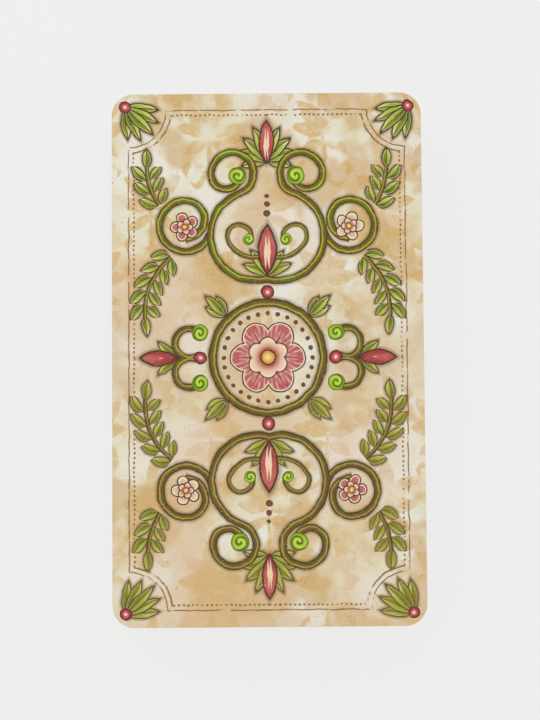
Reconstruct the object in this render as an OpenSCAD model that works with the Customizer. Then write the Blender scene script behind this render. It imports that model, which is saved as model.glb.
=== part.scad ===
// Tarot deck: seventy-eight die-cut cards, squared up face down on a table.
// The deck stands on z = 0 with its backs upwards and its long side along Y.
// Every card is a separate plate, and its lower left corner is the corner that the deck fans about.

/* [Card] */
// Width of a card
card_w = 70; // [55:1:90]
// Height of a card
card_h = 120; // [95:1:150]
// Thickness of the card stock
stock_t = 0.35; // [0.25:0.01:0.5]
// Radius of the die-cut corners
corner_r = 5; // [2:0.5:10]

/* [Deck] */
// Air left between two cards of a loosely squared deck
air_gap = 0.05; // [0.03:0.01:0.12]
// How far the top card's far corner has crept one way, and the bottom card's the other way
creep = 0.3; // [0:0.02:0.6]
// How far a card in mid-deck may stray from that creep at its far corner
stray = 0.2; // [0:0.02:0.4]

/* [Hidden] */
$fn = 96;
card_colour = "tan";

// Degrees from one card's place in the stray's wave to the next card's, so that no neighbours line up
wave_step = 137.5;

// Rise from one card to the next
card_rise = stock_t + air_gap;

// Centre of a corner's arc, measured from the card's own centre
arc_x = card_w / 2 - corner_r;
arc_y = card_h / 2 - corner_r;

// From the corner that the deck is squared to, to the far one
far_reach = norm([2 * arc_x, 2 * arc_y]);

// From the table up: four suits, then the trumps
suits = ["wands", "cups", "swords", "coins"];

// The cards of a suit, grouped as they share a node
suit_cards = [
    ["ace"],
    ["2", "3"],
    ["4", "5"],
    ["6", "7"],
    ["8", "9", "10"],
    ["page"],
    ["knight"],
    ["queen"],
    ["king"],
];

trumps = [
    "fool", "magician", "high_priestess", "empress", "emperor", "hierophant", "lovers", "chariot",
    "strength", "hermit", "wheel_of_fortune", "justice", "hanged_man", "death", "temperance", "devil",
    "tower", "star", "moon", "sun", "judgement", "world",
];

// Words from the k-th on, joined into one name
function joined(words, k = 0) =
    k == len(words) - 1 ? words[k] : str(words[k], "_", joined(words, k + 1));

NODES = concat(
    [for (suit = suits) for (group = suit_cards) str(suit, "_", joined(group))],
    [for (number = [0 : len(trumps) - 1]) str("trump_", number, "_", trumps[number])]
);

// Number of cards in each node
card_counts = concat(
    [for (suit = suits) for (group = suit_cards) len(group)],
    [for (trump = trumps) 1]
);

// Number of cards that lie under node k, which for k past the last node is the whole deck
function cards_under(k) = k == 0 ? 0 : cards_under(k - 1) + card_counts[k - 1];

deck_count = cards_under(len(NODES));

// Level of card i, from -1 on the table to 1 on top
function level(i) = 2 * i / (deck_count - 1) - 1;

// Slip of card i at its far corner: the deck's slow creep, and a stray that fades towards both ends
function slip(i) = creep * level(i) + stray * (1 - abs(level(i))) * sin(i * wave_step);

// A card's outline: two crossed bars and a disc in each corner
module card_outline() {
    square([card_w, 2 * arc_y], center = true);
    square([2 * arc_x, card_h], center = true);
    for (side = [-1, 1], end = [-1, 1])
        translate([side * arc_x, end * arc_y]) circle(r = corner_r);
}

// Card i of the deck, counted from the table, turned a little about its lower left corner
module card(i) {
    color(card_colour)
        translate([-arc_x, -arc_y, i * card_rise])
            rotate(asin(slip(i) / far_reach))
                translate([arc_x, arc_y])
                    linear_extrude(height = stock_t) card_outline();
}

// The one, two or three cards of node k
module card_packet(k) {
    for (n = [0 : card_counts[k] - 1]) card(cards_under(k) + n);
}

for (k = [0 : len(NODES) - 1])
    card_packet(k);
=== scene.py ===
"""Looks of a tarot deck: seventy-eight printed cards, each a piece of its own, squared on a pale table."""
import math

import bpy
import numpy as np
from mathutils import Matrix, Vector


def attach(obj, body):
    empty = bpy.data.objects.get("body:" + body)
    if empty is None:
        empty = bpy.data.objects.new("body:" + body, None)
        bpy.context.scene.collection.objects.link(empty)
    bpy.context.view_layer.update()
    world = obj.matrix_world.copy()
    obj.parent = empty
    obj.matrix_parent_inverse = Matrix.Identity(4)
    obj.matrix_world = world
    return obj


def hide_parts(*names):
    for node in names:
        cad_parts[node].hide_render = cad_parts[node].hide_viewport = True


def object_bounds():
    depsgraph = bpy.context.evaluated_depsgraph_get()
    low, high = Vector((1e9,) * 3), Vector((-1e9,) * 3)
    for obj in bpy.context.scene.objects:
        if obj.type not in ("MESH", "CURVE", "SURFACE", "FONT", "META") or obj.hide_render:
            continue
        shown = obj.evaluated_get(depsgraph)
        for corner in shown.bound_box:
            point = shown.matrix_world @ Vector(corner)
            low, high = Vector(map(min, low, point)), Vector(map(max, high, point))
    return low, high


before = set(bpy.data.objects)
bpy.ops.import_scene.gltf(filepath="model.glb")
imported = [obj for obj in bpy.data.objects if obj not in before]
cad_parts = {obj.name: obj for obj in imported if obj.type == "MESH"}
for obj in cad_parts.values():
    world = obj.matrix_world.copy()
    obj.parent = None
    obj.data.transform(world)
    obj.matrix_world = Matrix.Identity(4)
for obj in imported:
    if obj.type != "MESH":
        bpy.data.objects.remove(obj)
cad_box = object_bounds()

MM = 0.001

# One card, in millimetres
CARD_W, CARD_H, CORNER = 70.0, 120.0, 5.0
ARC_X, ARC_Y = CARD_W / 2 - CORNER, CARD_H / 2 - CORNER
RIM = 0.09
RIM_STEPS = 3
ARC_STEPS = 16

PLACE_NAME, TONE_NAME, BAKE_MAP = "print_place", "card_tone", "OFBake"
GOLDEN = 0.618034

# Papers and inks, as 8-bit screen colours
PALE, CREAM, TAN, AMBER = (228, 225, 210), (223, 214, 186), (211, 182, 129), (201, 162, 96)
PEACH, ROSY, SPECK = (212, 177, 128), (208, 184, 151), (150, 112, 70)
BROWN, DARK, DOT = (140, 98, 58), (66, 50, 28), (108, 72, 54)
WINE, ROSE, BLUSH = (124, 42, 42), (180, 80, 76), (222, 202, 181)
CORE, CORE_SHADE = (244, 238, 226), (224, 212, 190)


def screen(red, green, blue):
    """Linear colour of an 8-bit screen colour."""
    value = np.array([red, green, blue]) / 255
    linear = np.where(value > 0.04045, ((value + 0.055) / 1.055) ** 2.4, value / 12.92)
    return (*linear.tolist(), 1.0)


# Readings: numbers, places and colours that vary over a print, held in sockets


def feed(socket, value):
    """Links a reading to a socket, or sets the socket to a plain number or place."""
    if hasattr(value, "socket"):
        socket.id_data.links.new(value.socket, socket)
    elif value is not None:
        socket.default_value = value


def added(tree, kind, inputs, **settings):
    """A new node with its settings and inputs, where an input is a number or name of a socket."""
    node = tree.nodes.new(kind)
    for name, value in settings.items():
        setattr(node, name, value)
    for key, value in inputs.items():
        feed(node.inputs[key], value)
    return node


class Reading:
    """A number that varies over a print. Its sums and comparisons add Math nodes."""

    def __init__(self, socket):
        self.socket, self.tree = socket, socket.id_data

    def math(self, operation, *others):
        inputs = dict(enumerate((self, *others)))
        return Reading(added(self.tree, "ShaderNodeMath", inputs, operation=operation).outputs[0])

    def __add__(self, other):
        return self.math("ADD", other)

    def __sub__(self, other):
        return self.math("SUBTRACT", other)

    def __rsub__(self, other):
        return self.math("MULTIPLY_ADD", -1.0, other)

    def __mul__(self, other):
        return self.math("MULTIPLY", other)

    def __abs__(self):
        return self.math("ABSOLUTE")

    def times_plus(self, factor, offset):
        return self.math("MULTIPLY_ADD", factor, offset)

    def least(self, other):
        return self.math("MINIMUM", other)

    def most(self, other):
        return self.math("MAXIMUM", other)

    def under(self, limit):
        return self.math("LESS_THAN", limit)

    def over(self, limit):
        return self.math("GREATER_THAN", limit)

    def power(self, exponent):
        return self.math("POWER", exponent)

    def sine(self):
        return self.math("SINE")

    def cosine(self):
        return self.math("COSINE")

    def sign(self):
        return self.math("SIGN")

    def angle(self, x):
        return self.math("ARCTAN2", x)

    def to_and_fro(self, reach):
        return self.math("PINGPONG", reach)

    def wrapped(self, low, high):
        return self.math("WRAP", high, low)

    def soft(self, low, high, top=1.0):
        """An eased step from 0 at low to top at high."""
        inputs = {0: self, 1: low, 2: high, 3: 0.0, 4: top}
        return Reading(added(self.tree, "ShaderNodeMapRange", inputs,
                             interpolation_type="SMOOTHSTEP").outputs[0])


def blend(first, second, share):
    """The first reading where share is 0 and the second where it is 1."""
    inputs = {0: share, 2: first, 3: second}
    return Reading(added(share.tree, "ShaderNodeMix", inputs, data_type="FLOAT").outputs[0])


class Place:
    """A point of a print in millimetres, held in a vector socket."""

    def __init__(self, socket):
        self.socket, self.tree = socket, socket.id_data
        self.parts = None

    def vector(self, operation, *others):
        inputs = dict(enumerate((self, *others)))
        return added(self.tree, "ShaderNodeVectorMath", inputs, operation=operation)

    def distance(self, point):
        return Reading(self.vector("DISTANCE", (*point, 0.0)).outputs["Value"])

    def along(self, direction):
        return Reading(self.vector("DOT_PRODUCT", (*direction, 0.0)).outputs["Value"])

    def bearing(self, point):
        """Angle about a point, anticlockwise from the X axis."""
        return (self.y - point[1]).angle(self.x - point[0])

    def scaled(self, x, y):
        return Place(self.vector("MULTIPLY", (x, y, 0.0)).outputs[0])

    def moved(self, x, y):
        return Place(self.vector("ADD", (x, y, 0.0)).outputs[0])

    def folded(self):
        return Place(self.vector("ABSOLUTE").outputs[0])

    def mirrored(self):
        return place_of(abs(self.x), self.y)

    def shaken(self, noise, reach):
        """This place, moved by up to about half of reach each way by a noise's colour."""
        moved = self.moved(-reach / 2, -reach / 2)
        return Place(added(self.tree, "ShaderNodeVectorMath", {0: noise, 1: (reach, reach, 0.0), 2: moved},
                           operation="MULTIPLY_ADD").outputs[0])

    def noise(self, size, detail=2.0, roughness=0.5, shift=0.0, output=0):
        """Cloudy noise with blotches of about the given size; output 1 is its colour."""
        inputs = {"Vector": self.moved(shift, shift) if shift else self, "Scale": 1.0 / size,
                  "Detail": detail, "Roughness": roughness}
        node = added(self.tree, "ShaderNodeTexNoise", inputs, noise_dimensions="2D")
        return (Reading, Colour)[output](node.outputs[output])

    @property
    def x(self):
        return self.part(0)

    @property
    def y(self):
        return self.part(1)

    def part(self, index):
        if self.parts is None:
            self.parts = added(self.tree, "ShaderNodeSeparateXYZ", {0: self}).outputs
        return Reading(self.parts[index])


def place_of(x, y):
    """A place with the given readings as its X and Y."""
    return Place(added(x.tree, "ShaderNodeCombineXYZ", {0: x, 1: y}).outputs[0])


class Colour:
    """A colour that varies over a print."""

    def __init__(self, socket):
        self.socket, self.tree = socket, socket.id_data

    def mixed(self, ink, share):
        """This colour with an ink laid over it, by a share from 0 to 1."""
        inputs = {0: share, 6: self, 7: ink if isinstance(ink, Colour) else screen(*ink)}
        return Colour(added(self.tree, "ShaderNodeMix", inputs, data_type="RGBA").outputs[2])


def shaded(reading, *stops):
    """A colour read off a ramp, whose stops are pairs of a reading from 0 to 1 and an ink."""
    node = added(reading.tree, "ShaderNodeValToRGB", {0: reading})
    elements = node.color_ramp.elements
    elements[0].position, elements[1].position = stops[0][0], stops[-1][0]
    marks = [elements[0], *(elements.new(at) for at, _ in stops[1:-1])]
    for mark, (_, ink) in zip(marks, stops):
        mark.color = screen(*ink)
    elements[len(stops) - 1].color = screen(*stops[-1][1])
    return Colour(node.outputs[0])


# Strokes and leaves


def turned(degrees):
    """A direction at an angle from the X axis."""
    return math.cos(math.radians(degrees)), math.sin(math.radians(degrees))


def on_ring(centre, radius, degrees):
    """A point on a circle."""
    c, s = turned(degrees)
    return centre[0] + radius * c, centre[1] + radius * s


def nought(place):
    """A reading that is 0 all over a card."""
    return place.x.under(-CARD_W)


def swept(place, centre, start, end):
    """1 from one angle about a centre to another, anticlockwise: what is left of the first ray and right of
    the last one, both at once for up to half a turn, and either of them for more."""
    a, b = turned(start), turned(end)
    first = place.along((-a[1], a[0])).over(a[0] * centre[1] - a[1] * centre[0])
    last = place.along((b[1], -b[0])).over(b[1] * centre[0] - b[0] * centre[1])
    return first * last if end - start <= 180 else first.most(last)


def leaf_sides(place, root, degrees, length, width, bend):
    """Distances outside the two arcs that bound a leaf and meet at its root and its tip. bend makes one side
    the fuller."""
    c, s = turned(degrees)
    half = length / 2
    middle = root[0] + c * half, root[1] + s * half
    sides = []
    for side in (1, -1):
        bulge = width / 2 * (1 + side * bend)
        radius = (half * half + bulge * bulge) / (2 * bulge)
        inset = side * (radius - bulge)
        sides.append(place.distance((middle[0] + s * inset, middle[1] - c * inset)) - radius)
    return sides


class Brush:
    """Strokes, later ones over earlier: how far across its stroke a point lies, from -1 to 1, what they
    cover, and how near a point is to one, from 0 at a stroke's own width away to 1 at its rim."""

    def __init__(self, place):
        blank = nought(place)
        self.across, self.cover, self.near = blank + 1.0, blank, blank

    def draw(self, across, kept=None):
        reach = 2.0 - abs(across)
        if kept is not None:
            reach = reach * kept
        inside = reach.over(1.0)
        self.across = blend(self.across, across, inside)
        self.cover = self.cover.most(inside)
        self.near = self.near.most(reach)

    def arc(self, place, centre, radius, start, end, half, side=1):
        """A stroke along an arc: across it runs the distance to the centre, less the radius."""
        across = (place.distance(centre) - radius) * (side / half)
        self.draw(across, swept(place, centre, start, end) if end - start < 360 else None)

    def knob(self, place, centre, radius):
        """A round end of a stroke: across it runs the square of the distance, from the middle to the rim."""
        self.draw((place.distance(centre) * (1 / radius)).power(2.0).times_plus(2.0, -1.0))

    def leaf(self, place, root, degrees, length, width):
        """A leaf: across it runs the depth inside its rim, down to a dark midrib."""
        first, second = leaf_sides(place, root, degrees, length, width, 0.0)
        self.draw(first.most(second).times_plus(4 / width, 1.0))

    def line(self, place, start, end, half):
        """A straight stroke between two points: across it runs the offset from their line."""
        reach = math.dist(start, end)
        dx, dy = (end[0] - start[0]) / reach, (end[1] - start[1]) / reach
        across = place.along((-dy, dx)).times_plus(1 / half, (dy * start[0] - dx * start[1]) / half)
        middle = dx * (start[0] + end[0]) / 2 + dy * (start[1] + end[1]) / 2
        self.draw(across, abs(place.along((dx, dy)) - middle).under(reach / 2))


class Foliage:
    """Leaves, later ones over earlier: how far across the midrib a point lies, how deep inside the rim, how
    far from root to tip, what the leaves cover, and how near a point is to one, where 0 is its rim."""

    def __init__(self, place):
        blank = nought(place)
        self.fold, self.depth, self.along, self.cover = blank, blank, blank, blank
        self.near = blank - 1.0

    def leaf(self, place, root, degrees, length, width, bend=0.0, kept=None):
        first, second = leaf_sides(place, root, degrees, length, width, bend)
        c, s = turned(degrees)
        depth = first.most(second) * (-2 / width)
        inside = depth.over(0.0)
        if kept is not None:
            inside = inside * kept
        along = place.along((c / length, s / length)) - (c * root[0] + s * root[1]) / length
        self.fold = blend(self.fold, (second - first) * (1 / width), inside)
        self.depth = blend(self.depth, depth, inside)
        self.along = blend(self.along, along, inside)
        self.cover = self.cover.most(inside)
        self.near = self.near.most(depth if kept is None else (depth + 1.0) * kept - 1.0)


def petals(place, centre, size, count, offset=0.0):
    """Place in one of a ring of petals, in shares of the flower's size, and distance from its centre. The
    angle runs to and fro over half a petal."""
    radius = place.distance(centre) * (1 / size)
    fold = (place.bearing(centre) + offset).to_and_fro(math.pi / count)
    return place_of(radius * fold.cosine(), radius * fold.sine()), radius


def in_row(reading, count, pitch):
    """A reading wrapped at a pitch, so that one shape stands for a row of them, and 1 along that row."""
    shift = pitch / 2 if count % 2 == 0 else 0.0
    return (reading + shift).wrapped(-pitch / 2, pitch / 2), abs(reading).under(count * pitch / 2)


# Paper


def new_group(name, inputs, outputs):
    """An empty node group with named sockets, and its two end nodes."""
    tree = bpy.data.node_groups.new(name, "ShaderNodeTree")
    for label, kind in inputs:
        tree.interface.new_socket(label, in_out="INPUT", socket_type=kind)
    for label, kind in outputs:
        tree.interface.new_socket(label, in_out="OUTPUT", socket_type=kind)
    return tree, tree.nodes.new("NodeGroupInput"), tree.nodes.new("NodeGroupOutput")


# Leaves on one side of a palmette: root, direction, length and width
PALMETTE = (((0, 0), 90, 11.5, 4.8), ((0, 0), 50, 9.6, 3.8), ((0, -0.5), 14, 7.6, 3.4),
            ((0, -2.0), -30, 6.4, 2.8))


def damask(place):
    """Depth inside a damask's shapes: a half-drop lattice of palmettes of seven leaves, each over a pair of
    scrolls. Wrapping the two sums of the place's shares of the repeat makes the lattice of diamonds, and
    the shapes join by the deepest."""
    wide, high, fullness = 26.0, 34.0, 0.25
    stalk_half, stalk_middle, stalk_reach = 0.5, -6.0, 5.0
    scroll_at, scroll_r, scroll_half = (3.4, -9.4), 2.5, 0.75
    up = place.along((1 / wide, 1 / high)).wrapped(-0.5, 0.5)
    down = place.along((1 / wide, -1 / high)).wrapped(-0.5, 0.5)
    half = place_of(abs(up + down) * (wide / 2), (up - down) * (high / 2))
    deep = (stalk_half - half.x) - (abs(half.y - stalk_middle) - stalk_reach).most(0.0)
    for root, degrees, length, width in PALMETTE:
        first, second = leaf_sides(half, root, degrees, length, width, fullness)
        deep = deep.most(first.most(second) * -1.0)
    scroll = scroll_half - abs(half.distance(scroll_at) - scroll_r)
    return deep.most(scroll.least(swept(half, scroll_at, 160, 430).times_plus(4.0, -2.0)))


def parchment_group():
    """Old parchment: cream with tan clouds, a worn damask, amber stains and fine specks. Its grain is a
    small offset to both sides, for the unevenness of strokes painted on it."""
    readings = [(name, "NodeSocketFloat") for name in ("Fibre", "Wear", "Grain")]
    tree, start, end = new_group("old parchment", [("Place", "NodeSocketVector")],
                                 [("Colour", "NodeSocketColor"), *readings])
    place = Place(start.outputs[0])
    wander = place.noise(6.0, detail=3.0, roughness=0.6, shift=40.0, output=1)
    cloud = place.noise(17.0, detail=4.0, roughness=0.6)
    wear = place.noise(4.0, detail=4.0, roughness=0.65, shift=80.0)
    fibre = place.noise(0.5, roughness=0.6)
    mottle = place.noise(1.3, detail=3.0, roughness=0.7, shift=500.0)
    colour = shaded(cloud, (0.38, PALE), (0.53, CREAM), (0.69, TAN))
    depth = damask(place.shaken(wander, 1.6)) + (wear - 0.5) * 0.9
    figure = depth.soft(-0.1, 0.25) * place.noise(12.0, shift=120.0).soft(0.34, 0.5, 0.95)
    figure = figure * (mottle.soft(0.3, 0.55, 0.45) + 0.55)
    colour = colour.mixed(TAN, figure * cloud.soft(0.7, 0.56))
    colour = colour.mixed(PALE, figure * cloud.soft(0.58, 0.7, 0.7))
    stain = place.noise(19.0, detail=3.0, roughness=0.6, shift=160.0) + abs(place.y) * 0.0022
    colour = colour.mixed(AMBER, stain.soft(0.56, 0.68, 0.65))
    peach = place.noise(26.0, shift=260.0) - place.along((0.0012, 0.0022))
    colour = colour.mixed(PEACH, peach.soft(0.52, 0.72, 0.6))
    colour = colour.mixed(BLUSH, place.noise(24.0, shift=540.0).soft(0.5, 0.7, 0.5))
    band = place.noise(11.0, detail=3.0, roughness=0.6, shift=220.0).soft(0.36, 0.62, 0.6)
    colour = colour.mixed(ROSY, band * abs(place.y).soft(16.0, 2.0))
    colour = colour.mixed(SPECK, (fibre + wear * 0.4).soft(0.86, 0.98, 0.5))
    grain = (place.noise(1.6, detail=3.0, roughness=0.6, shift=380.0) - 0.5) * 0.5
    for name, reading in (("Colour", colour), ("Fibre", fibre), ("Wear", wear), ("Grain", grain)):
        feed(end.inputs[name], reading)
    return tree


PARCHMENT = parchment_group()


def parchment(place):
    """The parchment's colour, fibre, wear and grain at a place."""
    outputs = added(place.tree, "ShaderNodeGroup", {"Place": place}, node_tree=PARCHMENT).outputs
    return Colour(outputs["Colour"]), *(Reading(outputs[name]) for name in ("Fibre", "Wear", "Grain"))


# Back of the cards

# Ramps of ink, as pairs of a reading from 0 to 1 and a screen colour
LEAF_LIGHT = (0.0, (98, 96, 20)), (0.3, (144, 170, 36)), (0.65, (190, 198, 84)), (1.0, (232, 222, 162))
LEAF_SHADE = (0.0, (76, 68, 16)), (0.35, (98, 114, 18)), (0.7, (130, 146, 40)), (1.0, (190, 184, 106))
BUD_RAMP = (0.0, (110, 34, 40)), (0.4, ROSE), (0.75, (194, 98, 92)), (1.0, (150, 58, 54))
LIME_RAMP = ((0.0, (212, 222, 104)), (0.25, (164, 196, 46)), (0.6, (122, 158, 20)), (0.82, (84, 98, 14)),
             (0.95, (66, 56, 14)))
BEAD_RAMP = (0.1, (246, 218, 202)), (0.34, (206, 100, 102)), (0.7, (150, 48, 56)), (0.9, (84, 48, 36))
PINK_RAMP = (0.2, (172, 78, 78)), (0.8, (212, 132, 124))
IVORY_RAMP = (0.2, (204, 172, 122)), (0.8, (240, 230, 196))
HEART_RAMP = (0.22, (176, 84, 72)), (0.36, (226, 186, 158)), (0.58, (240, 228, 204))
EYE_RAMP = (0.0, (248, 222, 140)), (0.16, (200, 142, 46))

# Inks across a vine, from one rim to the other
VINE_STOPS = 0.0, 0.14, 0.22, 0.31, 0.37, 0.47, 0.8, 0.92
OLIVE_INKS = ((68, 52, 14), (90, 75, 16), (114, 103, 20), (186, 180, 52),
              (180, 174, 50), (114, 107, 22), (94, 83, 18), (70, 53, 14))
GREEN_INKS = ((66, 58, 12), (86, 94, 14), (106, 136, 16), (180, 204, 60),
              (168, 196, 52), (106, 142, 20), (86, 104, 14), (66, 58, 12))
BARK_INKS = ((70, 52, 20), (92, 71, 26), (114, 92, 36), (170, 146, 72),
             (162, 137, 66), (114, 91, 38), (95, 75, 28), (72, 53, 20))


def rule_frame(place, half_w, half_h, scoop):
    """Distance outside a rectangle whose corners are scooped out by arcs."""
    edge = (place.x - half_w).most(place.y - half_h)
    return edge.most(scoop - place.distance((half_w, half_h)))


def sprig(ink, place, centre, radius, start, end, pairs, upwards):
    """A stem along an arc with pairs of leaves at even steps, and a leaf at its tip. The angle about the
    arc's centre is wrapped, so that one pair, mirrored across the stem, stands for all."""
    length, width, lean, stem, overlap = 4.9, 2.3, 40.0, 0.45, 3.0
    ink.vines.arc(place, centre, radius, start, end, stem)
    step = math.radians((end - start) / pairs)
    angle = place.bearing(centre) - math.radians(start)
    along = angle.wrapped(0.0, step).times_plus(radius, -step * radius / 2)
    across = abs(place.distance(centre) - radius)
    tip, sense = (end, 1.0) if upwards else (start, -1.0)
    pair = place_of(along * sense, across)
    ink.leaves.leaf(pair, (-0.36 * length, 0.2), lean, length, width, 0.2, swept(place, centre, start, end))
    ink.leaves.leaf(place, on_ring(centre, radius, tip - overlap * sense), tip + 90 * sense, length, width)


class BackInk:
    """The layers of the back's ornament."""

    def __init__(self, place):
        self.vines, self.ends = Brush(place), Brush(place)
        self.leaves, self.buds = Foliage(place), Foliage(place)


STEM = 0.85
LYRE, LYRE_R, LYRE_TOP = (2.6, 27.6), 10.2, 70.0
SPIRAL_AT, SPIRAL_R = 8.0, 5.8
SPIRAL = on_ring(LYRE, LYRE_R + SPIRAL_R, SPIRAL_AT)
VOLUTE_R = 4.8
VOLUTE = on_ring(LYRE, LYRE_R + VOLUTE_R, LYRE_TOP)
RING_R, RING_HALF = 12.4, 0.95


def draw_side_spiral(ink, place):
    """A spiral off the lyre's flank, made of arcs whose centres step aside as the radius drops."""
    step = 1.5
    ink.vines.arc(place, SPIRAL, SPIRAL_R, 180 + SPIRAL_AT, 450, STEM, -1)
    ink.vines.arc(place, (SPIRAL[0], SPIRAL[1] + step), SPIRAL_R - step, 90, 270, STEM, -1)


def draw_end(ink, place, centre, radius, start):
    """A lime end of a scroll: a ball with a dark coil, which is where the distance, wound up with the angle,
    comes round to its start."""
    coils = 1.6
    pitch = radius / coils
    distance = place.distance(centre)
    coil = (place.bearing(centre) * (pitch / (2 * math.pi)) + distance + pitch * start).wrapped(0.0, pitch)
    groove = abs(coil - pitch / 2).times_plus(4.0 / pitch, -1.15).least(0.99)
    ball = (distance * (1 / radius)).power(4.0).times_plus(2.5, -1.0)
    ink.ends.draw(ball.most(groove), distance.under(radius))


def draw_lyre(ink, place):
    """Half of a lyre: its bowl, and the volute that its arm ends in."""
    step, tilt = 1.5, 10.0
    ink.vines.arc(place, LYRE, LYRE_R, -105, LYRE_TOP, STEM)
    ink.vines.arc(place, VOLUTE, VOLUTE_R, -tilt, 180 + LYRE_TOP, STEM, -1)
    inner = on_ring(VOLUTE, step, -tilt)
    ink.vines.arc(place, inner, VOLUTE_R - step, -160, -tilt, STEM, -1)
    draw_end(ink, place, on_ring(inner, VOLUTE_R - step - 0.6, -175), radius=2.2, start=0.4)


def draw_tendril(ink, place):
    """A tendril from the foot of the lyre's bud, which curls over into a lime end."""
    centre, radius, wide, turn, thin = (6.3, 27.4), 2.7, 7.0, -30, 0.5
    ink.vines.arc(place, on_ring(centre, radius - wide, turn), wide, -105, turn, thin)
    ink.vines.arc(place, centre, radius, turn, 190, thin)
    draw_end(ink, place, on_ring(centre, radius - 0.5, 200), radius=1.4, start=0.2)


def draw_side_curl(ink, place):
    """A curl at the medallion's side."""
    centre, radius = (17.6, 3.3), 3.3
    ink.vines.arc(place, centre, radius, -120, 120, STEM * 0.9)
    draw_end(ink, place, on_ring(centre, radius, 135), radius=2.0, start=0.9)


def draw_leaves(ink, place):
    """Leaves off the medallion, the palmette, the corner fans and the buds' sepals."""
    for degrees, length in ((26, 5.6), (64, 5.6), (45, 7.2)):
        ink.leaves.leaf(place, on_ring((0, 0), RING_R + 0.5, 45), degrees, length, 2.4)
    for degrees, length in ((-8, 6.0), (22, 7.0), (46, 8.0), (69, 9.0)):
        ink.leaves.leaf(place, (0.0, 44.2), degrees, length, 2.7, 0.25)
    for degrees, length in ((186, 8.0), (264, 8.0), (205.5, 9.0), (244.5, 9.0), (225, 9.6)):
        ink.leaves.leaf(place, (32.2, 57.2), degrees, length, 2.5)
    for degrees, length in ((28, 6.4), (58, 7.4)):
        ink.leaves.leaf(place, (0.0, 18.2), degrees, length, 2.4, 0.3)
    ink.leaves.leaf(place, (19.8, 0.0), 38, 6.4, 2.4, -0.3)


def draw_buds(ink, place):
    """Buds over the lyre, inside it and at the medallion's side."""
    ink.buds.leaf(place, (0.0, 43.6), 90, 10.5, 3.6)
    ink.buds.leaf(place, (0.0, 18.4), 90, 12.0, 4.4)
    ink.buds.leaf(place, (20.0, 0.0), 0, 9.0, 3.6)


def paint_rose(colour, place, centre, size, count, ink):
    """A double rose: outer petals with a pale lip, inner ones turned by half a petal, and an amber eye. Each
    petal is a disc, and places and radii are shares of the rose's size."""
    line, lip, veined = 0.3 / size, 0.26 / size, 5.0
    outer_at, outer_r, inner_at, inner_r, eye_r, eye_line = 0.62, 0.37, 0.33, 0.22, 0.2, 0.035
    outer, radius = petals(place, centre, size, count)
    rim = outer.distance((outer_at, 0.0))
    colour = colour.mixed((90, 54, 38), rim.under(outer_r + line / 2))
    colour = colour.mixed((234, 212, 184), rim.under(outer_r - line / 2))
    inside = rim.under(outer_r - line / 2 - lip)
    colour = colour.mixed(ink, inside)
    if size > veined:
        veins = place_of(outer.y.math("DIVIDE", outer.x) * 22.0, radius * 3.0).noise(1.0, roughness=0.6)
        colour = colour.mixed((242, 206, 190), veins.soft(0.5, 0.66, 0.75) * inside)
        colour = colour.mixed((146, 44, 56), veins.soft(0.46, 0.34, 0.6) * inside)
    colour = colour.mixed(WINE, radius.soft(0.82, 0.4, 0.4) * inside)
    colour = colour.mixed(WINE, (radius - rim * 0.9).soft(0.42, 0.05, 0.8) * inside)
    inner, _ = petals(place, centre, size, count, math.pi / count)
    rim = inner.distance((inner_at, 0.0))
    colour = colour.mixed((100, 56, 44), rim.under(inner_r + line / 2))
    colour = colour.mixed(shaded(radius, *HEART_RAMP), rim.under(inner_r - line / 2))
    colour = colour.mixed((74, 48, 26), radius.under(eye_r))
    return colour.mixed(shaded(radius, *EYE_RAMP), radius.under(eye_r - eye_line))


def paint_rules(colour, place, wear):
    """A ruled frame with scooped corners, and a row of dots inside it, both worn here and there."""
    half_w, half_h, scoop, line = 31.2, 56.2, 8.5, 0.15
    pitch, inset, dot_half, corner = 1.05, 1.15, 0.21, 1.7
    worn = wear.soft(0.34, 0.46, 0.9)
    outside = rule_frame(place, half_w, half_h, scoop)
    colour = colour.mixed(BROWN, abs(outside).under(line) * worn)
    across = (place.x * (2 * math.pi / pitch)).sine()
    along = (place.y * (2 * math.pi / pitch)).sine()
    dots = blend(along, across, (place.y - place.x).over(half_h - half_w))
    solid = place.distance((half_w, half_h)).under(scoop + corner)
    row = abs(outside + inset).under(dot_half) * dots.over(-0.1).most(solid)
    return colour.mixed(BROWN, row * worn)


def paint_dots(colour, place):
    """Beads where the medallion meets the lyres and curls and at the corner fans, and rows of brown dots."""
    for centre, radius in (((0.0, 14.8), 1.55), ((15.2, 0.0), 1.55), ((32.0, 57.0), 1.35)):
        bead = place.distance(centre) * (1 / radius)
        colour = colour.mixed(shaded(bead, *BEAD_RAMP), bead.under(1.0))
    for height, radius in ((32.6, 0.8), (34.8, 0.64), (36.6, 0.5)):
        colour = colour.mixed(DOT, place.distance((0.0, height)).under(radius))
    ring, count, radius = 9.95, 28, 0.52
    dot, _ = petals(place, (0.0, 0.0), 1.0, count)
    return colour.mixed(DOT, dot.distance((ring, 0.0)).under(radius))


def leaf_colour(leaves, grain):
    """Leaves from dark olive at the root over lime to a pale tip, one half in shade, with a dark rim."""
    along = leaves.along + grain
    colour = shaded(along, *LEAF_LIGHT).mixed(shaded(along, *LEAF_SHADE), leaves.fold.soft(0.12, -0.12))
    colour = colour.mixed((236, 230, 190), leaves.depth.soft(0.46, 0.3, 0.5))
    colour = colour.mixed((78, 72, 14), abs(leaves.fold).under(0.08))
    return colour.mixed((72, 56, 16), leaves.depth.soft(0.34, 0.2))


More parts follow.
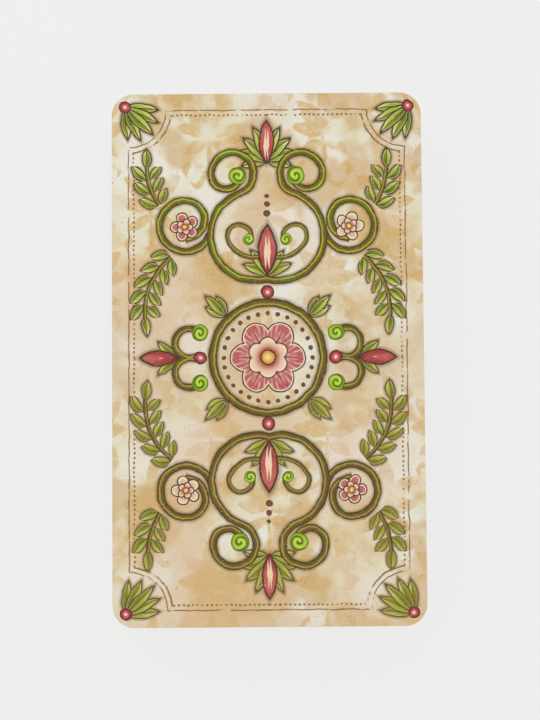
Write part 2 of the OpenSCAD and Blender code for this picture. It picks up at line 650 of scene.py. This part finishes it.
def bud_colour(buds, grain):
    """Rose buds, dark at the root and the rim, with a pale streak."""
    colour = shaded(buds.along + grain, *BUD_RAMP)
    colour = colour.mixed((146, 50, 54), buds.fold.soft(-0.1, -0.6, 0.8))
    streak = (abs(buds.along - 0.45) * -0.6 + 0.2).over(abs(buds.fold - 0.15))
    colour = colour.mixed((236, 204, 172), streak)
    return colour.mixed((82, 46, 34), buds.depth.under(0.2))


def vine_colour(vines, grain, fresh, autumn):
    """Strokes with dark rims and a thin light off the middle: olive, turning green or to bark by shares."""
    across = (vines.across + grain).times_plus(0.5, 0.5)
    ramps = (zip(VINE_STOPS, inks) for inks in (OLIVE_INKS, GREEN_INKS, BARK_INKS))
    olive, green, bark = (shaded(across, *ramp) for ramp in ramps)
    return olive.mixed(green, fresh).mixed(bark, autumn)


def end_colour(ends, grain):
    """Lime balls, palest in the middle, with dark rims."""
    return shaded((ends.across + grain).times_plus(0.5, 0.5), *LIME_RAMP)


def paint_back(place):
    """The back's colour and fibre: parchment, rules and an ornament that is folded into four."""
    colour, fibre, wear, grain = parchment(place)
    hand = place.shaken(place.noise(3.2, shift=300.0, output=1), 0.55)
    autumn = place.y.soft(40.0, -30.0, 0.65) + place.noise(7.0, shift=340.0).soft(0.4, 0.6, 0.45)
    fresh = place.noise(8.0, shift=460.0).soft(0.52, 0.66, 0.7)
    other = (place.x * place.y).over(0.0)
    place = hand.folded()
    colour = paint_rules(colour, place, wear)
    ink = BackInk(place)
    sprig(ink, place, centre=(11.5, 43.5), radius=15.6, start=-35, end=0, pairs=3, upwards=True)
    sprig(ink, place, centre=(12.0, 10.5), radius=15.6, start=-6, end=52, pairs=5, upwards=False)
    draw_side_spiral(ink, place)
    draw_lyre(ink, place)
    ink.vines.arc(place, (0.0, 0.0), RING_R, 0, 360, RING_HALF)
    draw_side_curl(ink, place)
    draw_tendril(ink, place)
    draw_leaves(ink, place)
    draw_buds(ink, place)
    near = ink.vines.near.most(ink.leaves.near.most(ink.buds.near).times_plus(1.6, 1.0))
    colour = colour.mixed((112, 82, 38), near.soft(0.15, 1.0, 0.58))
    leaves = leaf_colour(ink.leaves, grain).mixed((146, 124, 40), autumn * 0.45)
    colour = colour.mixed(leaves, ink.leaves.cover)
    colour = colour.mixed(vine_colour(ink.vines, grain, fresh, autumn), ink.vines.cover)
    colour = colour.mixed(end_colour(ink.ends, grain), ink.ends.cover)
    colour = colour.mixed(bud_colour(ink.buds, grain), ink.buds.cover)
    pink, ivory = (shaded(grain + 0.5, *ramp) for ramp in (PINK_RAMP, IVORY_RAMP))
    heart = SPIRAL[0] + 0.1, SPIRAL[1] - 0.2
    colour = paint_rose(colour, place, centre=(0.0, 0.0), size=8.5, count=6, ink=pink)
    colour = paint_rose(colour, place, centre=heart, size=3.3, count=5, ink=pink.mixed(ivory, other))
    colour = paint_dots(colour, place)
    return colour.mixed(CREAM, (fibre - wear * 0.5).soft(0.38, 0.52, 0.2)), fibre


def new_material(name):
    """An empty material and its shader."""
    material = bpy.data.materials.new(name)
    material.use_nodes = True
    tree = material.node_tree
    tree.nodes.clear()
    shader = tree.nodes.new("ShaderNodeBsdfPrincipled")
    output = tree.nodes.new("ShaderNodeOutputMaterial")
    tree.links.new(shader.outputs[0], output.inputs["Surface"])
    return material, tree, shader


def coat(tree, shader, fibre):
    """Satin varnish over the paper's fibre."""
    smoothest, spread, sheen, height, strength = 0.34, 0.2, 0.14, 0.004 * MM, 0.5
    feed(shader.inputs["Roughness"], fibre.times_plus(spread, smoothest))
    shader.inputs["Specular IOR Level"].default_value = sheen
    bump = added(tree, "ShaderNodeBump", {"Height": fibre, "Distance": height, "Strength": strength})
    tree.links.new(bump.outputs[0], shader.inputs["Normal"])


def print_material(name, side, paint, *subject):
    """One printed side of a card; side is -1 on the face, which is seen from below."""
    material, tree, shader = new_material(name)
    attribute = added(tree, "ShaderNodeAttribute", {}, attribute_name=PLACE_NAME)
    colour, fibre = paint(Place(attribute.outputs["Vector"]).scaled(side, 1.0), *subject)
    feed(shader.inputs["Base Color"], colour)
    coat(tree, shader, fibre)
    return material


# Faces of the cards

SUIT_INKS = {
    "wands": ((58, 50, 22), (124, 132, 44), (206, 204, 104)),
    "cups": ((62, 30, 34), (178, 74, 80), (232, 172, 158)),
    "swords": ((44, 50, 58), (112, 132, 142), (214, 222, 218)),
    "coins": ((78, 54, 18), (198, 148, 48), (246, 222, 138)),
}
WASHES = {
    "wands": ((218, 196, 128), (166, 176, 104)),
    "cups": ((214, 148, 128), (232, 200, 172)),
    "swords": ((212, 196, 170), (140, 164, 172)),
    "coins": ((206, 154, 84), (236, 212, 142)),
    "trump": ((214, 160, 128), (146, 168, 172)),
}
COURT_BEADS = {"page": 1, "knight": 2, "queen": 3, "king": 4}
LAST_TRUMP = sum(node.startswith("trump_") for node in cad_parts) - 1


def draw_wands(brush, place):
    """A rod with two pairs of leaves and a knob."""
    half = place.mirrored()
    for height, length in ((-2.2, 3.4), (0.6, 3.0)):
        brush.leaf(half, (0.2, height), 42, length, 1.5)
    brush.line(place, (0, -4.4), (0, 3.6), 0.5)
    brush.knob(place, (0, 4.0), 0.95)


def draw_cups(brush, place):
    """A chalice: half a disc for the bowl, a stem with a knob, and a foot."""
    brush.line(place, (0, -3.6), (0, -0.4), 0.42)
    brush.draw(place.distance((0, 1.9)).times_plus(0.75, -1.0), place.y.under(2.0))
    brush.line(place, (-2.9, 2.1), (2.9, 2.1), 0.42)
    brush.line(place, (-2.0, -3.8), (2.0, -3.8), 0.5)
    brush.knob(place, (0, -1.6), 0.8)


def draw_swords(brush, place):
    """A blade that tapers to its point, a guard, a grip and a pommel."""
    width = place.y.soft(4.8, 3.2).times_plus(0.62, 0.03)
    brush.draw(place.x.math("DIVIDE", width), abs(place.y - 1.5).under(3.2))
    brush.line(place, (-2.0, -1.7), (2.0, -1.7), 0.36)
    brush.line(place, (0, -3.6), (0, -2.0), 0.36)
    brush.knob(place, (0, -4.0), 0.75)


def draw_coins(brush, place):
    """A coin with a beaded rim and a six-pointed flower."""
    brush.draw(place.distance((0, 0)).times_plus(0.55, -0.95))
    brush.arc(place, (0, 0), 2.9, 0, 360, 0.4)
    petal, _ = petals(place, (0, 0), 1.0, 6)
    brush.draw(petal.distance((1.2, 0.0)).times_plus(1.6, -0.6))


PIPS = {"wands": draw_wands, "cups": draw_cups, "swords": draw_swords, "coins": draw_coins}


def paint_strokes(colour, brush, inks, grain):
    """Strokes in a suit's three inks: dark rims, its own body colour, and a light off the middle."""
    rim, body, light = inks
    across = (brush.across + grain).times_plus(0.5, 0.5)
    ink = shaded(across, (0.0, rim), (0.16, body), (0.34, light), (0.55, body), (0.84, body), (0.95, rim))
    colour = colour.mixed((110, 84, 52), brush.near.soft(0.3, 1.0, 0.35))
    return colour.mixed(ink, brush.cover)


def paint_pips(colour, place, suit, count, grain):
    """Pips of a number card: two columns of up to four, by folding the place, and up to three between."""
    span, column, scale, tallest = 76.0, 14.5, 1.6, 4
    sides = min(count // 2, tallest) if count >= tallest else 0
    for rows, at in ((sides, column), (count - 2 * sides, 0.0)):
        if rows:
            x = abs(place.x) - at if at else place.x
            y, kept = in_row(place.y, rows, span / rows)
            brush = Brush(place)
            PIPS[suit](brush, place_of(x, y).scaled(1 / scale, 1 / scale))
            brush.cover, brush.near = brush.cover * kept, brush.near * kept
            colour = paint_strokes(colour, brush, SUIT_INKS[suit], grain)
    return colour


def paint_emblem(colour, place, suit, grain, scale, centre=(0.0, 0.0)):
    """A suit's emblem by itself, at a scale and a place."""
    brush = Brush(place)
    PIPS[suit](brush, place.moved(-centre[0], -centre[1]).scaled(1 / scale, 1 / scale))
    return paint_strokes(colour, brush, SUIT_INKS[suit], grain)


def paint_court(colour, place, suit, rank, grain):
    """A court card: its suit's emblem under a row of one to four beads, by its rank."""
    pitch, height, radius, line = 5.0, 26.0, 1.7, 0.35
    colour = paint_emblem(colour, place, suit, grain, scale=3.2, centre=(0.0, -2.0))
    x, kept = in_row(place.x, COURT_BEADS[rank], pitch)
    bead = place_of(x, place.y).distance((0.0, height))
    colour = colour.mixed((84, 42, 36), bead.under(radius) * kept)
    return colour.mixed(ROSE, bead.under(radius - line) * kept)


def roman(number):
    """A number in Roman strokes; nought is a ring."""
    digits = ""
    for value, mark in ((10, "X"), (9, "IX"), (5, "V"), (4, "IV"), (1, "I")):
        digits += mark * (number // value)
        number %= value
    return digits or "O"


# Strokes of the Roman marks, between places in shares of a mark's width and of half its height
NUMERAL_STROKES = {
    "I": (((0.5, -1), (0.5, 1)),),
    "V": (((0, 1), (0.5, -1)), ((1, 1), (0.5, -1))),
    "X": (((0, 1), (1, -1)), ((1, 1), (0, -1))),
    "O": (),
}


def paint_numeral(colour, place, number):
    """A number at both ends of the face, one turned round: the place changes sign with its height."""
    level, half_h, line, gap = 48.2, 1.9, 0.3, 0.6
    widths = {"I": 0.9, "V": 2.5, "X": 2.5, "O": 3.0}
    ends = place_of(place.x * place.y.sign(), abs(place.y) - level)
    marks = roman(number)
    brush = Brush(place)
    left = -(sum(widths[mark] for mark in marks) + gap * (len(marks) - 1)) / 2
    for mark in marks:
        for stroke in NUMERAL_STROKES[mark]:
            start, end = ((left + x * widths[mark], y * half_h) for x, y in stroke)
            brush.line(ends, start, end, line)
        left += widths[mark] + gap
    if not number:
        brush.arc(ends, (0, 0), half_h * 0.8, 0, 360, line)
    return colour.mixed(DARK, brush.cover)


def paint_ground(colour, place, wash, wear):
    """A face's ground: a panel with scooped corners and a wash that turns from one ink at its foot to one at
    its head, between rules, and plain parchment round it."""
    half_w, half_h, scoop, inset = 29.5, 54.5, 7.0, 1.2
    outside = rule_frame(place.folded(), half_w, half_h, scoop)
    low, high = wash
    tint = shaded(place.y.times_plus(1 / CARD_H, 0.5), (0.15, low), (0.85, high))
    colour = colour.mixed(tint, outside.under(-inset) * wear.soft(0.3, 0.6, 0.75))
    colour = colour.mixed(BROWN, abs(outside).under(0.3))
    return colour.mixed(BROWN, abs(outside + inset).under(0.14))


def paint_rosette(colour, place, number, grain):
    """A trump's rosette, whose petals and beads are counted by its number."""
    count, size, bead_ring, bead_r = 5 + number % 8, 15.0, 24.6, 1.0
    colour = paint_rose(colour, place, (0.0, 0.0), size, count, shaded(grain + 0.5, *PINK_RAMP))
    brush = Brush(place)
    for radius, half in ((21.5, 0.9), (18.0, 0.5)):
        brush.arc(place, (0, 0), radius, 0, 360, half)
    colour = paint_strokes(colour, brush, SUIT_INKS["wands"], grain)
    bead, _ = petals(place, (0.0, 0.0), 1.0, max(number, 1), -math.pi / 2)
    return colour.mixed(DOT, bead.distance((bead_ring, 0.0)).under(bead_r))


def paint_globe(colour, place, noise):
    """A globe with a net of parallels and meridians, each where its angle comes round to a full step."""
    size, step, line = 10.5, math.radians(30), 0.022
    spot = place.scaled(1 / size, 1 / size)
    from_light = spot.distance((-0.35, 0.4))
    sea = shaded(from_light, (0.0, (190, 208, 196)), (0.6, (116, 154, 156)), (1.0, (62, 92, 104)))
    land = shaded(from_light, (0.0, (214, 206, 128)), (0.6, (158, 158, 74)), (1.0, (92, 92, 44)))
    globe = sea.mixed(land, noise.soft(0.51, 0.53))
    latitude = spot.y.math("ARCSINE")
    longitude = spot.x.math("DIVIDE", latitude.cosine()).math("ARCSINE")
    net = abs(latitude.wrapped(-step / 2, step / 2)).under(line)
    net = net.most(abs(longitude.wrapped(-step / 2, step / 2)).under(line * 1.4))
    globe = globe.mixed((70, 58, 36), net * 0.75)
    return colour.mixed(globe, spot.distance((0.0, 0.0)).under(1.0))


def paint_wreath(colour, place, grain):
    """An oval wreath of leaf pairs that climb both sides, tied with red bands above and below."""
    ring, flat, pairs, length, width, band = 17.5, 0.72, 26, 4.8, 2.2, 0.75
    oval = place.mirrored().scaled(1.0, flat)
    vines, leaves, bands = Brush(place), Foliage(place), Brush(place)
    vines.arc(oval, (0, 0), ring, 0, 360, 0.5)
    step = 2 * math.pi / pairs
    along = oval.y.angle(oval.x).wrapped(0.0, step).times_plus(ring, -step * ring / 2)
    pair = place_of(along, abs(oval.distance((0, 0)) - ring))
    leaves.leaf(pair, (-0.36 * length, 0.1), 36, length, width, 0.2)
    colour = paint_strokes(colour, vines, SUIT_INKS["wands"], grain)
    colour = colour.mixed(leaf_colour(leaves, grain), leaves.cover)
    knot, top = place.folded(), ring / flat
    bands.line(knot, (-1.6, top - 2.6), (3.4, top + 2.4), band)
    bands.line(knot, (3.4, top - 2.4), (-1.6, top + 2.6), band)
    return paint_strokes(colour, bands, SUIT_INKS["cups"], grain)


def paint_world(colour, place, grain):
    """The last trump: a globe in a wreath, with the four suits' emblems in the corners."""
    across, up, disc_r, scale = 20.0, 36.5, 7.4, 1.15
    corner = place.folded()
    colour = colour.mixed((232, 222, 192), corner.distance((across, up)).under(disc_r))
    ring = Brush(place)
    ring.arc(corner, (across, up), disc_r, 0, 360, 0.6)
    ring.arc(place, (0, 0), 10.9, 0, 360, 0.7)
    land = place.noise(6.5, detail=3.0, roughness=0.55, shift=430.0)
    colour = paint_globe(colour, place, land)
    colour = paint_strokes(colour, ring, SUIT_INKS["coins"], grain)
    for suit, side, end in (("wands", -1, 1), ("cups", 1, 1), ("swords", 1, -1), ("coins", -1, -1)):
        colour = paint_emblem(colour, place, suit, grain, scale, (side * across, end * up))
    return paint_wreath(colour, place, grain)


def paint_face(place, group, rank):
    """A card's face by its group, which is a suit or the trumps, and its rank in it."""
    colour, fibre, wear, grain = parchment(place)
    colour = paint_ground(colour, place, WASHES[group], wear)
    if rank == "ace":
        return paint_emblem(colour, place, group, grain, scale=4.2), fibre
    if rank in COURT_BEADS:
        return paint_court(colour, place, group, rank, grain), fibre
    number = int(rank)
    if group != "trump":
        colour = paint_pips(colour, place, group, number, grain)
    elif number == LAST_TRUMP:
        colour = paint_world(colour, place, grain)
    else:
        colour = paint_rosette(colour, place, number, grain)
    return paint_numeral(colour, place, number), fibre


def edge_material():
    """Cut edge of the stock: a pale core with long fibres, a film of ink along both faces, and a tone from
    handling that is each card's own and shifts its fibres."""
    fibre_shift = 300.0
    material, tree, shader = new_material("cut edge")
    place = Place(added(tree, "ShaderNodeAttribute", {}, attribute_name=PLACE_NAME).outputs["Vector"])
    tone = Reading(added(tree, "ShaderNodeAttribute", {}, attribute_name=TONE_NAME).outputs["Fac"])
    fibre = place_of(place.x + tone * fibre_shift, place.y).noise(1.3, detail=3.0, roughness=0.6)
    colour = shaded((fibre + tone) * 0.5, (0.3, CORE), (0.75, CORE_SHADE))
    colour = colour.mixed(AMBER, abs(place.part(2)).soft(0.11, 0.16, 0.4))
    feed(shader.inputs["Base Color"], colour)
    shader.inputs["Roughness"].default_value = 0.8
    return material


# Cards


def card_outline(inset):
    """Corner arcs of a rounded rectangle drawn inwards by insets: an arc's centre plus what is left of its
    radius times the direction. One row per inset."""
    quarter = np.linspace(0.0, math.pi / 2, ARC_STEPS + 1)
    angle = (np.arange(4)[:, None] * (math.pi / 2) + quarter).ravel()
    side_x, side_y = (np.repeat(signs, ARC_STEPS + 1) for signs in ([1, -1, -1, 1], [1, 1, -1, -1]))
    radius = CORNER - inset[:, None]
    return np.stack([side_x * ARC_X + radius * np.cos(angle), side_y * ARC_Y + radius * np.sin(angle)], -1)


def card_profile(stock):
    """Insets and heights down a card's edge: a quarter round at the back, the cut, and one at the face."""
    t = np.linspace(0.0, math.pi / 2, RIM_STEPS + 1)
    inset = np.concatenate([RIM * (1 - np.sin(t)), RIM * (1 - np.cos(t))])
    height = np.concatenate([stock / 2 - RIM * (1 - np.cos(t)), RIM * (1 - np.sin(t)) - stock / 2])
    return inset, height


def bake_places(local, rows, count):
    """Places of the corners on the card's own map: back and face side by side over a strip for the edge."""
    margin, strip = 0.012, 0.05
    share = (0.5 - 2 * margin) / CARD_W
    base = np.array([0.25, strip + margin + share * CARD_H / 2])
    back = base + local[:count, :2] * share
    face = base + [0.5, 0.0] + local[-count:, :2] * share * [-1, 1]
    across = np.linspace(margin, 1 - margin, count + 1)
    up = np.linspace(strip, margin, rows)
    quads = np.stack([np.stack([across[c:count + c] + 0 * up[r:rows - 1 + r, None],
                                0 * across[c:count + c] + up[r:rows - 1 + r, None]], -1)
                      for r, c in ((0, 0), (1, 0), (1, 1), (0, 1))], 2)
    return np.concatenate([quads.reshape(-1, 2), back, face[::-1]])


def make_card(name, bottom, top, twist, tone, materials):
    """A card as its edge profile carried round its outline, closed by a flat back and a flat face, turned by
    its twist about the lower left corner."""
    inset, height = card_profile(top - bottom)
    outline = card_outline(inset)
    rows, count = outline.shape[:2]
    height = np.broadcast_to(height[:, None, None], (rows, count, 1))
    local = np.concatenate([outline, height], 2).reshape(-1, 3)
    pivot = np.array([-ARC_X, -ARC_Y])
    turn = np.array([[math.cos(twist), math.sin(twist)], [-math.sin(twist), math.cos(twist)]])
    points = np.column_stack([(local[:, :2] - pivot) @ turn + pivot, local[:, 2] + (bottom + top) / 2])
    first = np.arange(rows - 1)[:, None] * count + np.arange(count)
    after = np.arange(rows - 1)[:, None] * count + (np.arange(count) + 1) % count
    quads = np.stack([first, first + count, after + count, after], -1).reshape(-1, 4)
    caps = [np.arange(count).tolist(), (np.arange(count)[::-1] + (rows - 1) * count).tolist()]
    mesh = bpy.data.meshes.new(name)
    mesh.from_pydata((points * MM).tolist(), [], quads.tolist() + caps)
    for material in materials:
        mesh.materials.append(material)
    band = np.full(rows - 1, 2)
    band[0], band[-1] = 0, 1
    mesh.polygons.foreach_set("material_index", np.concatenate([np.repeat(band, count), [0, 1]]))
    mesh.polygons.foreach_set("use_smooth", np.concatenate([np.ones(len(quads)), [0, 0]]).astype(bool))
    mesh.attributes.new(PLACE_NAME, "FLOAT_VECTOR", "POINT").data.foreach_set("vector", local.ravel())
    mesh.attributes.new(TONE_NAME, "FLOAT", "POINT").data.foreach_set("value", np.full(len(local), tone))
    uv = mesh.uv_layers.new(name=BAKE_MAP)
    uv.data.foreach_set("uv", bake_places(local, rows, count).ravel())
    mesh.update()
    card = bpy.data.objects.new(name, mesh)
    bpy.context.scene.collection.objects.link(card)
    return card


def card_layers(node):
    """Bottom, top and twist of each card of a CAD node. An anticlockwise twist about the lower left corner
    pushes the upper left corner out to the left, and a clockwise one the lower right corner downwards."""
    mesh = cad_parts[node].data
    points = np.empty(len(mesh.vertices) * 3)
    mesh.vertices.foreach_get("co", points)
    points = points.reshape(-1, 3) / MM
    layers = []
    for bottom, top in np.unique(points[:, 2].round(3)).reshape(-1, 2):
        low = points[abs(points[:, 2] - top) < RIM].min(0)
        left = max(-CARD_W / 2 - low[0], 0.0)
        down = max(-CARD_H / 2 - low[1], 0.0)
        twist = math.asin(left / (2 * ARC_Y)) - math.asin(down / (2 * ARC_X))
        layers.append((float(bottom), float(top), twist))
    return layers


def card_ranks(node):
    """Group and ranks of a node's cards: one rank for a trump, an ace or a court card, more for a packet."""
    group, *words = node.split("_")
    return group, words[:1] if group == "trump" else words


def make_deck():
    """Every card of every node, riding on the node's body and standing for its solid."""
    back, edge = print_material("printed back", 1.0, paint_back), edge_material()
    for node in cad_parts:
        group, ranks = card_ranks(node)
        for rank, (bottom, top, twist) in zip(ranks, card_layers(node), strict=True):
            name = "card_" + (node if group == "trump" else f"{group}_{rank}")
            tone = bottom / (top - bottom) * GOLDEN % 1.0
            face = print_material(f"printed face {group} {rank}", -1.0, paint_face, group, rank)
            card = make_card(name, bottom, top, twist, tone, [back, face, edge])
            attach(card, node)
            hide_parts(node)


# Table, light and camera


BACKDROP = screen(239, 239, 239)


def seen_rays(tree):
    """1 for the rays that show the backdrop: from the camera, off a gloss and through glass."""
    path = tree.nodes.new("ShaderNodeLightPath")
    seen = Reading(path.outputs["Is Camera Ray"]).most(Reading(path.outputs["Is Glossy Ray"]))
    return seen.most(Reading(path.outputs["Is Transmission Ray"]))


def make_table():
    """A pale table. The camera sees its colour with a share of the deck's shadow; light bounces off it."""
    half, shadow_share = 6.0, 0.14
    mesh = bpy.data.meshes.new("table")
    corners = [(-half, -half, 0), (half, -half, 0), (half, half, 0), (-half, half, 0)]
    mesh.from_pydata(corners, [], [(0, 1, 2, 3)])
    table = bpy.data.objects.new("table", mesh)
    bpy.context.scene.collection.objects.link(table)
    material, tree, shader = new_material("pale table")
    shader.inputs["Base Color"].default_value = BACKDROP
    shader.inputs["Roughness"].default_value = 0.9
    glow = added(tree, "ShaderNodeEmission", {"Color": BACKDROP, "Strength": 1.0})
    mix = added(tree, "ShaderNodeMixShader", {0: seen_rays(tree) * (1 - shadow_share)})
    tree.links.new(shader.outputs[0], mix.inputs[1])
    tree.links.new(glow.outputs[0], mix.inputs[2])
    output = next(node for node in tree.nodes if node.type == "OUTPUT_MATERIAL")
    tree.links.new(mix.outputs[0], output.inputs["Surface"])
    mesh.materials.append(material)


def make_light():
    """An even studio dome, and a wide soft lamp above the table."""
    dome_strength, lamp_power, lamp_size, lamp_at = 0.74, 4.8, 1.2, Vector((-0.2, 0.3, 1.1))
    world = bpy.data.worlds.new("studio")
    bpy.context.scene.world = world
    world.use_nodes = True
    tree = world.node_tree
    tree.nodes.clear()
    dome = added(tree, "ShaderNodeBackground", {"Color": (1.0, 1.0, 1.0, 1.0), "Strength": dome_strength})
    drop = added(tree, "ShaderNodeBackground", {"Color": BACKDROP, "Strength": 1.0})
    mix = added(tree, "ShaderNodeMixShader", {0: seen_rays(tree)})
    tree.links.new(dome.outputs[0], mix.inputs[1])
    tree.links.new(drop.outputs[0], mix.inputs[2])
    output = tree.nodes.new("ShaderNodeOutputWorld")
    tree.links.new(mix.outputs[0], output.inputs["Surface"])
    lamp = bpy.data.lights.new("soft lamp", "AREA")
    lamp.size, lamp.energy = lamp_size, lamp_power
    holder = bpy.data.objects.new("soft lamp", lamp)
    holder.matrix_world = Matrix.Translation(lamp_at) @ lamp_at.to_track_quat("Z", "Y").to_matrix().to_4x4()
    bpy.context.scene.collection.objects.link(holder)


def make_camera():
    """A camera above the deck, tipped a little towards the near side, at the photograph's angle."""
    distance, tilt, roll, lens = 0.400, 4.0, -0.3, 89.2
    aim = Vector((0.0003, -0.0005, cad_box[1].z))
    data = bpy.data.cameras.new("camera")
    data.lens = lens
    data.clip_start, data.clip_end = 0.01, 20.0
    camera = bpy.data.objects.new("camera", data)
    look = Matrix.Rotation(math.radians(tilt), 4, "X") @ Matrix.Rotation(math.radians(roll), 4, "Z")
    camera.matrix_world = Matrix.Translation(aim) @ look @ Matrix.Translation((0.0, 0.0, distance))
    bpy.context.scene.collection.objects.link(camera)
    bpy.context.scene.camera = camera


bpy.context.scene.view_settings.view_transform = "Standard"
make_camera()
make_light()
make_table()
make_deck()
